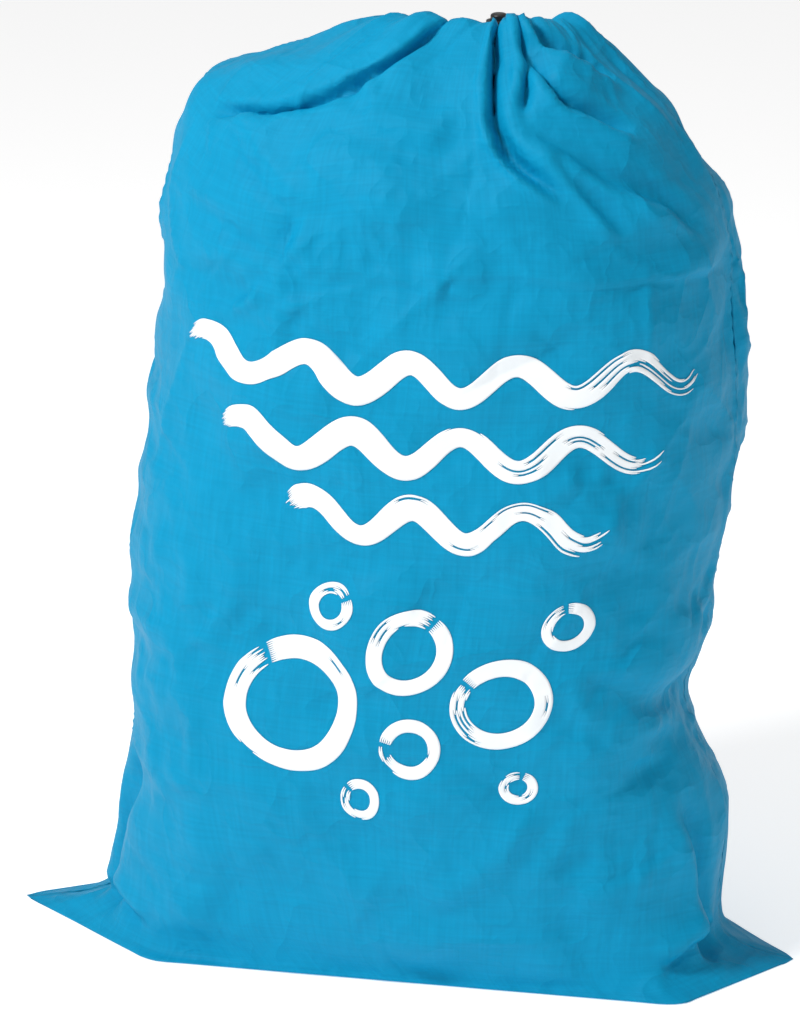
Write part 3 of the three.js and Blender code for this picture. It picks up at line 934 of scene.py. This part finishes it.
def on_cloth(cloth, across, up, lift):
    """The points of a panel at those flat places, between its four nearest grid points, and
    lifted along the normal."""
    rows, columns = cloth.shape[:2]
    x = np.clip(across / PANEL_WIDTH, 0, 1) * (columns - 1)
    y = np.clip(up / FALL, 0, 1) * (rows - 1)
    i, j = np.minimum(y.astype(int), rows - 2), np.minimum(x.astype(int), columns - 2)
    f, g = (y - i)[..., None], (x - j)[..., None]
    surface = np.concatenate([cloth, grid_normals(cloth)], -1)
    low = surface[i, j] * (1 - g) + surface[i, j + 1] * g
    high = surface[i + 1, j] * (1 - g) + surface[i + 1, j + 1] * g
    both = low * (1 - f) + high * f
    return both[..., :3] + both[..., 3:] * lift


def brush_stroke(points, width, draw, dry=0.45, ragged=1.0):
    """One stroke along a curve on the flat panel, as streaks side by side. Each streak starts
    and stops on its own, breaks off here and there where the brush is dry, and narrows to
    a point as the square root of the way to its end. Returns grids of flat places."""
    length = np.linalg.norm(np.diff(curve_through(points, 200), axis=0), axis=1).sum()
    line = curve_through(points, max(8, int(length / 0.0015)))
    way = np.gradient(line, axis=0)
    way /= np.linalg.norm(way, axis=1, keepdims=True)
    aside = np.stack([-way[:, 1], way[:, 0]], -1)
    along = np.linspace(0, 1, len(line))
    wave = np.sin(along * draw.uniform(9, 14) + draw.uniform(0, 6))
    fat_start = np.minimum(1, 1 - ragged * (0.45 - along * 8))
    half = width / 2 * (0.88 + 0.12 * wave * ragged) * fat_start
    half *= 1 - 0.35 * ragged * smooth(1 - dry, along - dry)
    lanes = max(3, round(width / BRISTLES))
    streaks = []
    dry_break, wet_break = (0.75, dry, 1, 0.02, 0.10), (0.16, 0.1, dry, 0.01, 0.04)
    for lane in range(lanes):
        middle = (lane + 0.5) / lanes * 2 - 1
        rim = middle**2
        start = ragged * (draw.uniform(0, 0.015) + 0.02 * rim)
        stop = 1 - ragged * (draw.uniform(0, 0.09) + 0.03 * rim)
        breaks = []
        for chance, first, last, least, most in (dry_break, wet_break):
            if draw.random() < chance:
                at = draw.uniform(first, last)
                breaks.append((at, at + draw.uniform(least, most)))
        ends = [start, *[end for gap in sorted(breaks) for end in gap], stop]
        for a, b in zip(ends[::2], ends[1::2]):
            inside = (along >= a) & (along <= b)
            if inside.sum() < 4:
                continue
            u = along[inside]
            thin = np.sqrt(np.clip(np.minimum(u - a, b - u) * length / 0.006, 0, 1))
            thin = np.maximum(thin, 0.05)
            reach = half[inside] * thin / lanes
            centre = line[inside] + aside[inside] * (half[inside] * middle)[:, None]
            edge = aside[inside] * reach[:, None]
            streaks.append(np.stack([centre - edge, centre + edge], 1))
    return streaks


def wavy(left, right, height, swing, crests):
    """Points of a sine from left to right."""
    x = np.linspace(left, right, 14 * crests)
    return np.stack([x, height + swing * np.sin(np.linspace(0, 2 * np.pi * crests, x.size))], -1)


def ring(across, up, radius, start):
    """Points of a full circle, drawn clockwise from the start angle."""
    turn = start - np.linspace(0, 2 * np.pi, 28)
    return np.stack([across + radius * np.cos(turn), up + radius * np.sin(turn)], -1)


def make_print():
    draw = np.random.default_rng(4)
    streaks = []
    waves = (
        (0.125, 0.530, 0.578, 5, 0.021),
        (0.165, 0.495, 0.525, 4, 0.021),
        (0.215, 0.455, 0.472, 3, 0.020),
    )
    for left, right, height, crests, width in waves:
        streaks += brush_stroke(wavy(left, right, height, 0.012, crests), width, draw, dry=0.6)
    bubbles = (
        (0.238, 0.325, 0.043, 0.0190, 2.2),
        (0.322, 0.375, 0.027, 0.0140, 1.0),
        (0.332, 0.300, 0.019, 0.0110, 3.0),
        (0.394, 0.338, 0.029, 0.0140, 2.6),
        (0.258, 0.404, 0.014, 0.0095, 0.6),
        (0.432, 0.397, 0.015, 0.0095, 1.8),
        (0.292, 0.256, 0.013, 0.0090, 2.4),
        (0.412, 0.272, 0.010, 0.0080, 1.4),
    )
    for across, up, radius, width, start in bubbles:
        circle = ring(across, up, radius, start)
        streaks += brush_stroke(circle, width, draw, dry=0.7, ragged=0.12)
    points, faces, count = [], [], 0
    for streak in streaks:
        places = on_cloth(front_cloth, streak[..., 0], streak[..., 1], INK_LIFT)
        index = count + np.arange(len(streak) * 2).reshape(-1, 2)
        points.append(places.reshape(-1, 3))
        faces.append(grid_faces(index))
        count += index.size
    ink = new_object("brushed_print", np.vstack(points), np.vstack(faces))
    welded = bmesh.new()
    welded.from_mesh(ink.data)
    bmesh.ops.remove_doubles(welded, verts=welded.verts, dist=0.00004)
    welded.to_mesh(ink.data)
    welded.free()
    thicken(ink, 0.00015)
    return ink


def make_ink():
    """White screen ink: a little chalky, with a fine grain."""
    material, tree, shader, place = start_material("print_ink")
    grain = noise(tree, place["Object"], 900.0, 2.0)
    cloudy = noise(tree, place["Object"], 40.0, 3.0)
    white = mix_colour(tree, cloudy, (0.78, 0.84, 0.88), (0.90, 0.92, 0.93))
    wire(tree, white, shader["Base Color"])
    shader["Roughness"].default_value = 0.62
    wire(tree, bump(tree, grain, 0.3, 0.0002).outputs["Normal"], shader["Normal"])
    return material


brushed_print = make_print()
finish_piece(brushed_print, make_ink(), "bag")


# ---------------------------------------------------------------- the seams
# Inside the bag the panels' edges are overlocked together and stand in from each seam as a
# stiff little strip, thread wound over its edge.

seam_blue = cloth_material("seam_cloth", (0.012, 0.300, 0.520), (0.008, 0.250, 0.450), 500.0)


def make_seam(name, outer, inner, lift=0.0):
    """A strip between both panels from the seam inwards. outer and inner are the two
    panels' points, one row for each step in from the seam."""
    middle = (outer + inner) / 2
    middle[..., 2] += lift
    depth, length = middle.shape[:2]
    along = np.arange(length) * 0.0035
    thread = np.sin(2 * np.pi * along / 0.007)[None, :] * np.linspace(0, 1, depth)[:, None]
    middle += grid_normals(middle) * (0.0002 * thread)[..., None]
    index = np.arange(depth * length).reshape(depth, length)
    strip = new_object(name.replace("seam", "overlock"), middle.reshape(-1, 3), grid_faces(index))
    uv = np.stack(np.meshgrid(along, np.arange(depth) * 0.0035), -1)
    give_uv(strip, uv.reshape(-1, 2))
    thicken(strip, 0.0008, 0.0)
    finish_piece(strip, seam_blue, "bag", [name])


up_to = FINE_ROWS - 14
turned = (front_cloth[4:up_to].swapaxes(0, 1), back_cloth[4:up_to].swapaxes(0, 1))
make_seam("side_seam_left", turned[0][:4], turned[1][:4])
make_seam("side_seam_right", turned[0][:-5:-1], turned[1][:-5:-1])
make_seam("bottom_seam", front_cloth[:4, 4:-4], back_cloth[:4, 4:-4], 0.0014)


# ---------------------------------------------------------------- the hem
# The mouth's edge is turned over and stitched into a casing for the cord. Drawn shut, it
# bunches into a thick pleated collar, open at the back where the cord comes out.

HEM_TURN = 0.2  # half the angle left open for the cord


def make_hem(name, node, turns):
    """Part of the collar: round the mouth a tube, r = R + w cos b and z = Z + h sin b, whose
    size swells and shrinks with uneven pleats, cosines whose phase wanders."""
    steps = 40
    around = np.linspace(0, 2 * np.pi, steps, endpoint=False)
    points, faces, count = [], [], 0
    for start, stop in turns:
        turn = np.linspace(start, stop, int(abs(stop - start) / 0.012))
        a, b = np.meshgrid(turn, around, indexing="ij")
        phase = 1.7 * np.sin(2 * a + 0.5) + 1.1 * np.sin(5 * a)
        twist = 0.5 * np.sin(b + a)
        pleat = np.cos(27 * a + 1.6 * phase + twist)
        pleat = 0.6 * pleat + 0.4 * np.cos(16 * a - phase + 2 * twist)
        behind = np.maximum(np.sin(a), 0)
        size = 0.86 + 0.15 * pleat
        wide = 0.0125 * size
        tall = (0.0098 + 0.0075 * behind) * (size + 0.04 * np.cos(13 * a + 1))
        radius = 0.0262 + wide * np.cos(b)
        height = MOUTH[2] - 0.010 * behind + tall * np.sin(b)
        place = [MOUTH[0] + radius * np.cos(a), radius * np.sin(a), height]
        body = np.stack(place, -1)
        points.append(body.reshape(-1, 3))
        faces += [[count + i for i in face] for face in tube_faces(*a.shape, flip=True)]
        count += a.size
    points = np.vstack(points)
    hem = new_object(name, points, faces)
    flat = points - MOUTH
    turned = np.arctan2(flat[:, 1], flat[:, 0])
    give_uv(hem, np.stack([turned * 0.19, np.hypot(flat[:, 0], flat[:, 1]) + flat[:, 2]], -1))
    finish_piece(hem, bag_blue, "bag", [node])
    return hem


half_turn = np.pi / 2
make_hem("front_hem", "front_hem_casing", [(np.pi, 2 * np.pi)])
make_hem(
    "back_hem",
    "back_hem_casing",
    [(0, half_turn - HEM_TURN), (half_turn + HEM_TURN, np.pi)],
)


# ---------------------------------------------------------------- the drawcord
# One black braided cord, 4 mm thick: once round the mouth inside the hem, out at the back
# side by side, through the lock and down behind the bag to a knot in each end.


def make_cord_material():
    """Black polyester braid: fibres along each strand as fine noise, slightly shiny."""
    material, tree, shader, place = start_material("cord")
    fibre = noise(tree, place["Object"], 1600.0, 2.0)
    black = mix_colour(tree, fibre, (0.004, 0.004, 0.005), (0.016, 0.016, 0.018))
    wire(tree, black, shader["Base Color"])
    shader["Roughness"].default_value = 0.62
    shader["Specular IOR Level"].default_value = 0.3
    wire(tree, bump(tree, fibre, 0.5, 0.0002).outputs["Normal"], shader["Normal"])
    return material


cord_black = make_cord_material()


def braid(path, radius, sides=24):
    """A round braid along a path: r = R (0.89 + 0.13 m^1.5), where m is the higher of two
    sets of strands, |sin(4 a + k s)| and |sin(4 a - k s)|, that wind opposite ways. Returns
    points and faces with both ends closed."""
    way = np.gradient(path, axis=0)
    way /= np.linalg.norm(way, axis=1, keepdims=True)
    first = np.empty_like(way)
    first[0] = np.cross(way[0], (0.3, 0.2, 0.9))
    for i in range(1, len(path)):
        first[i] = first[i - 1] - way[i] * (first[i - 1] @ way[i])
        first[i] /= np.linalg.norm(first[i])
    first[0] = first[1]
    second = np.cross(way, first)
    gone = np.append(0, np.linalg.norm(np.diff(path, axis=0), axis=1).cumsum())
    turn, run = np.meshgrid(np.linspace(0, 2 * np.pi, sides, endpoint=False), gone)
    pitch = np.pi / 0.0034
    over = np.abs(np.sin(4 * turn + pitch * run))
    under = np.abs(np.sin(4 * turn - pitch * run))
    size = radius * (0.89 + 0.13 * np.maximum(over, under) ** 1.5)
    size = size * np.minimum(1, np.minimum(run, gone[-1] - run) / radius + 0.55)
    offset = first[:, None] * (np.cos(turn) * size)[..., None]
    offset = offset + second[:, None] * (np.sin(turn) * size)[..., None]
    return (path[:, None] + offset).reshape(-1, 3), tube_faces(len(path), sides)


def closely(points, step):
    length = np.linalg.norm(np.diff(points, axis=0), axis=1).sum()
    return curve_through(points, max(12, int(length / step)))


def hem_cord_path():
    """Out of the exit on the right, back round the mouth the long way and out on the left:
    arcs of the cord's ring and of its two bends."""
    strand, bend, ring_radius = 0.00235, 0.009, 0.025
    bend_x = strand + bend
    bend_y = np.sqrt((ring_radius + bend) ** 2 - bend_x**2)
    leave = np.arctan2(bend_y, bend_x)
    corner = np.pi + leave * np.arange(5) / 5
    right = np.stack([bend_x + bend * np.cos(corner), bend_y + bend * np.sin(corner)], -1)
    right = np.vstack([[strand, TAIL_ROUTE[0, 1] - 0.0003], right])
    turn = np.linspace(leave, -np.pi - leave, 40)
    round_mouth = ring_radius * np.stack([np.cos(turn), np.sin(turn)], -1)
    left = (right * (-1, 1))[::-1]
    flat = np.vstack([right, round_mouth, left])
    return np.column_stack([MOUTH[0] + flat[:, 0], flat[:, 1], np.full(len(flat), MOUTH[2])])


def make_cord_in_hem():
    points, faces = braid(closely(hem_cord_path(), 0.0006), CORD / 2)
    hem_cord = new_object("cord_in_hem", points, faces)
    finish_piece(hem_cord, cord_black, "bag", ["drawcord_in_hem"])


def knot_path(centre):
    """A trefoil, x = a (sin t + 2 sin 2t), y = a (cos t - 2 cos 2t), z = -b sin 3t, standing
    on end as an overhand knot does on a hanging cord."""
    t = np.linspace(0, 2 * np.pi, 200)
    x = 0.00113 * (np.sin(t) + 2 * np.sin(2 * t))
    y = 0.00113 * (np.cos(t) - 2 * np.cos(2 * t))
    return np.stack([centre[0] + x, centre[1] + y, centre[2] - 0.0036 * np.sin(3 * t)], -1)


def make_knot(name, end):
    centre = end - (0, 0, 0.0063)
    first_points, first_faces = braid(knot_path(centre), 0.0019, 16)
    stub = np.linspace(centre - (0.0005, 0, 0.002), centre - (-0.0008, -0.0006, 0.0125), 24)
    more_points, more_faces = braid(stub, 0.0021, 24)
    more_faces = [[i + len(first_points) for i in face] for face in more_faces]
    points = np.vstack([first_points, more_points])
    knot = new_object(name.replace("cord_knot", "overhand_knot"), points, first_faces + more_faces)
    finish_piece(knot, cord_black, "bag", [name])
    return knot


def make_tail(side, word):
    path = closely(tail_points(side), 0.0007)
    points, faces = braid(path, CORD / 2)
    tail = new_object(f"cord_end_{word}", points, faces)
    finish_piece(tail, cord_black, "bag", [f"cord_tail_{word}"])
    knot = make_knot(f"cord_knot_{word}", path[-1])


make_cord_in_hem()
make_tail(-1, "left")
make_tail(1, "right")


# ---------------------------------------------------------------- the cord lock
# A moulded black barrel and, sprung up inside it, a plunger. A slot goes through both, and
# the spring pinches the cords between the two slots.

LOCK = np.array([MOUTH[0], 0.058, MOUTH[2]])


def make_plastic(name, dark, light, rough):
    """Moulded plastic: nearly black, faintly cloudy, with the mould's fine grain."""
    material, tree, shader, place = start_material(name)
    cloud = noise(tree, place["Object"], 120.0, 3.0)
    grain = noise(tree, place["Object"], 2500.0, 1.0)
    tones = [(tone, tone, tone * 1.05) for tone in (dark, light)]
    wire(tree, mix_colour(tree, cloud, *tones), shader["Base Color"])
    wire(tree, maths(tree, "MULTIPLY_ADD", cloud, 0.12, rough), shader["Roughness"])
    wire(tree, bump(tree, grain, 0.15, 0.0001).outputs["Normal"], shader["Normal"])
    return material


def turned_body(name, profile, sides, grooves=None):
    """A closed body turned about the lock's axis from radius and height pairs; grooves says
    how far to press in the points between two heights, as a function of the turn."""
    profile = np.asarray(profile) / 1000
    turn = np.linspace(0, 2 * np.pi, sides, endpoint=False)
    radius = np.repeat(profile[:, :1], sides, axis=1)
    height = np.repeat(profile[:, 1:], sides, axis=1)
    if grooves:
        radius = radius - grooves(radius, height, turn[None])
    place = [LOCK[0] + radius * np.cos(turn), LOCK[1] + radius * np.sin(turn), LOCK[2] + height]
    return new_object(name, np.stack(place, -1).reshape(-1, 3), tube_faces(*radius.shape))


def rounded(corners, radius, steps=5):
    """The profile with every corner but the first and last replaced by a short curve."""
    corners = np.asarray(corners, float)
    out = [corners[0]]
    for before, corner, after in zip(corners, corners[1:], corners[2:]):
        back, on = before - corner, after - corner
        back_size, on_size = np.linalg.norm(back), np.linalg.norm(on)
        reach = min(radius, 0.45 * back_size, 0.45 * on_size)
        a, b = corner + back / back_size * reach, corner + on / on_size * reach
        for t in np.linspace(0, 1, steps):
            out.append(a * (1 - t) ** 2 + 2 * corner * t * (1 - t) + b * t**2)
    return [*out, corners[-1]]


def cut_slot(body, low, high, half_width=5.2):
    """Cuts a slot with rounded ends straight through the body, from low to high."""
    middle, half = (low + high) / 2, (high - low) / 2
    turn = np.linspace(0, 2 * np.pi, 40, endpoint=False)
    corner = min(half, 2.3)
    x = np.sign(np.cos(turn)) * (half_width - corner) + corner * np.cos(turn)
    z = middle + np.sign(np.sin(turn)) * (half - corner) + corner * np.sin(turn)
    rims = [np.stack([x, np.full(40, y), z], -1) / 1000 + LOCK for y in (-15, 15)]
    cutter = new_object("slot_cutter", np.vstack(rims), tube_faces(2, 40))
    cut = body.modifiers.new("slot", "BOOLEAN")
    cut.operation = "DIFFERENCE"
    cut.solver = "EXACT"
    cut.object = cutter
    made = body.evaluated_get(bpy.context.evaluated_depsgraph_get())
    mesh = bpy.data.meshes.new_from_object(made)
    body.modifiers.clear()
    body.data = mesh
    bpy.data.objects.remove(cutter, do_unlink=True)


def grip_grooves(radius, height, turn):
    """Sixteen upright grooves round the lower part of the barrel's outside."""
    inside = (radius > 0.0085) & (height > -0.0100) & (height < -0.0035)
    return inside * 0.0006 * np.maximum(np.cos(16 * turn), 0) ** 0.5


SHARP = np.radians(35)  # edges bent by more than this stay crisp under smooth shading


def make_lock():
    barrel_profile = [(0.01, -12.5), (9.5, -12.5)]
    barrel_profile += [(9.5, z) for z in (-10.4, -10.0, -9.4, -6.5, -4.1, -3.5, -3.1)]
    barrel_profile += [(9.5, 7.5), (6.6, 7.5), (6.6, -11), (0.01, -11)]
    plunger_profile = [(0.01, -4), (6.3, -4), (6.3, 11), (5.1, 12.1), (3.3, 12.6), (0.01, 12.3)]
    barrel = turned_body("lock_barrel", rounded(barrel_profile, 1.1), 128, grip_grooves)
    plunger = turned_body("lock_plunger", rounded(plunger_profile, 0.8), 96)
    black = make_plastic("lock_plastic", 0.005, 0.009, 0.34)
    button = make_plastic("button_plastic", 0.007, 0.013, 0.28)
    cut_slot(barrel, -2.4, 2.4)
    cut_slot(plunger, -2.4, 6.4)
    finish_piece(barrel, black, "cord_lock", ["cord_lock_barrel"])
    finish_piece(plunger, button, "plunger", ["cord_lock_plunger"])
    for body in (barrel, plunger):
        body.data.set_sharp_from_angle(angle=SHARP)


def make_spring():
    """A helix of 0.8 mm wire under the plunger, x = r cos a and y = r sin a with z even."""
    low, high, turns = -11 + 0.3 + 0.4, -4 - 0.3 - 0.4, 3.5
    t = np.linspace(0, 1, 240)
    a = 2 * np.pi * turns * t
    z = low + (high - low) * t
    path = np.stack([4.3 * np.cos(a), 4.3 * np.sin(a), z], -1) / 1000 + LOCK
    points, faces = braid(path, 0.0004, 10)
    spring = new_object("lock_spring", points, faces)
    steel, tree, shader, place = start_material("spring_steel")
    drawn = noise(tree, place["Object"], 800.0, 2.0)
    shader["Base Color"].default_value = (0.55, 0.55, 0.54, 1)
    shader["Metallic"].default_value = 1.0
    wire(tree, maths(tree, "MULTIPLY_ADD", drawn, 0.2, 0.22), shader["Roughness"])
    finish_piece(spring, steel, "cord_lock", ["cord_lock_spring"])
    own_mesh(spring)


make_lock()
make_spring()
